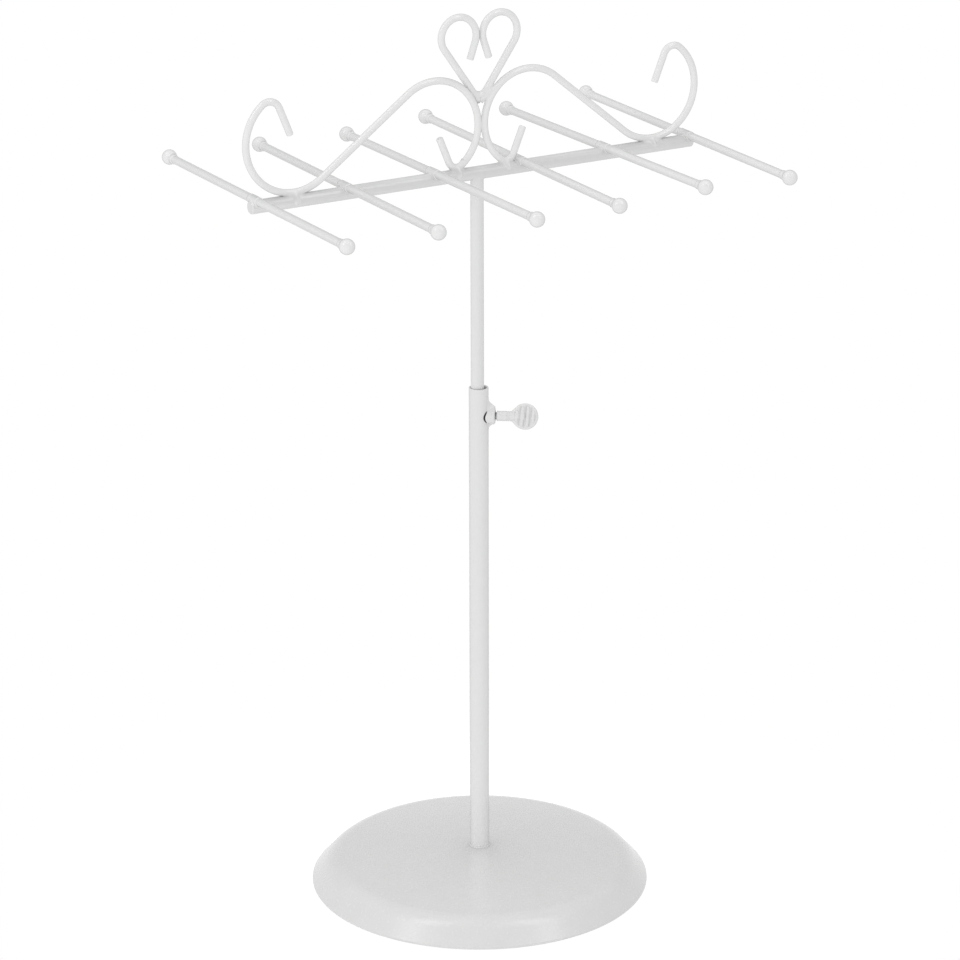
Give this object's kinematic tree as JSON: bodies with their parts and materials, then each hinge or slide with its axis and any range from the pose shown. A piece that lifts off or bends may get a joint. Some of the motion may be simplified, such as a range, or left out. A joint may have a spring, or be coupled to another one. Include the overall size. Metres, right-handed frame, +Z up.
{
  "type": "jewelry stand",
  "caption": "Free-standing jewelry holder: weighted round base, telescoping pole with thumb-screw clamp, crossbar with ball-ended rods, wire scrolls and a heart on top.",
  "frame": {"origin": "on the table, under the middle of the round base", "axes": "+Z up along the pole, +X along the crossbar, +Y along the rods away from the viewer"},
  "size_m": [0.3078, 0.2406, 0.5527],
  "materials": {
    "white_coat": "semi-gloss powder coat",
    "zinc_steel": "zinc plated",
    "weight_iron": "as cast, black",
    "pad_foam": "closed-cell foam",
    "guide_plastic": "moulded nylon"
  },
  "bodies": {
    "stand": {"base_dome": "white_coat", "base_pad": "pad_foam", "base_weight": "weight_iron", "base_washer": "zinc_steel", "spring_washer": "zinc_steel", "base_bolt": "zinc_steel", "foot_washer": "white_coat", "foot_plug": "zinc_steel", "lower_tube": "white_coat", "clamp_boss": "white_coat", "clamp_weld": "white_coat"},
    "glide": {"end_plug": "guide_plastic"},
    "head": {"upper_tube": "white_coat", "crossbar": "white_coat", "rod_1": "white_coat", "rod_2": "white_coat", "rod_3": "white_coat", "rod_4": "white_coat", "rod_5": "white_coat", "rod_6": "white_coat", "ball_1_front": "white_coat", "ball_1_back": "white_coat", "ball_2_front": "white_coat", "ball_2_back": "white_coat", "ball_3_front": "white_coat", "ball_3_back": "white_coat", "ball_4_front": "white_coat", "ball_4_back": "white_coat", "ball_5_front": "white_coat", "ball_5_back": "white_coat", "ball_6_front": "white_coat", "ball_6_back": "white_coat", "left_scroll": "white_coat", "right_scroll": "white_coat", "heart": "white_coat", "rod_welds": "white_coat", "scroll_welds": "white_coat", "heart_welds": "white_coat", "pole_welds": "white_coat"},
    "screw_tip": {"screw_tip": "guide_plastic"},
    "thumb_screw": {"screw_stud": "zinc_steel", "screw_head": "white_coat"}
  },
  "joints": [
    {"name": "height_slide", "type": "slide", "parent": "stand", "child": "glide", "axis": [0, 0, 1], "range_m": [-0.11, 0.12]},
    {"name": "head_swivel", "type": "hinge", "parent": "glide", "child": "head", "pos_m": [-0.00061, 0.00043, 0.4], "axis": [0, 0, 1], "continuous": true},
    {"name": "screw_travel", "type": "slide", "parent": "stand", "child": "screw_tip", "axis": [0.8192, -0.5736, 0], "range_m": [0, 0.00321]},
    {"name": "screw_turn", "type": "hinge", "parent": "screw_tip", "child": "thumb_screw", "pos_m": [0, 0, 0.3055], "axis": [0.8192, -0.5736, 0], "range_deg": [0, 1440]}
  ],
  "couplings": [
    {"joint": "screw_travel", "follows": "screw_turn", "m_per_rad": 0.00012732}
  ]
}
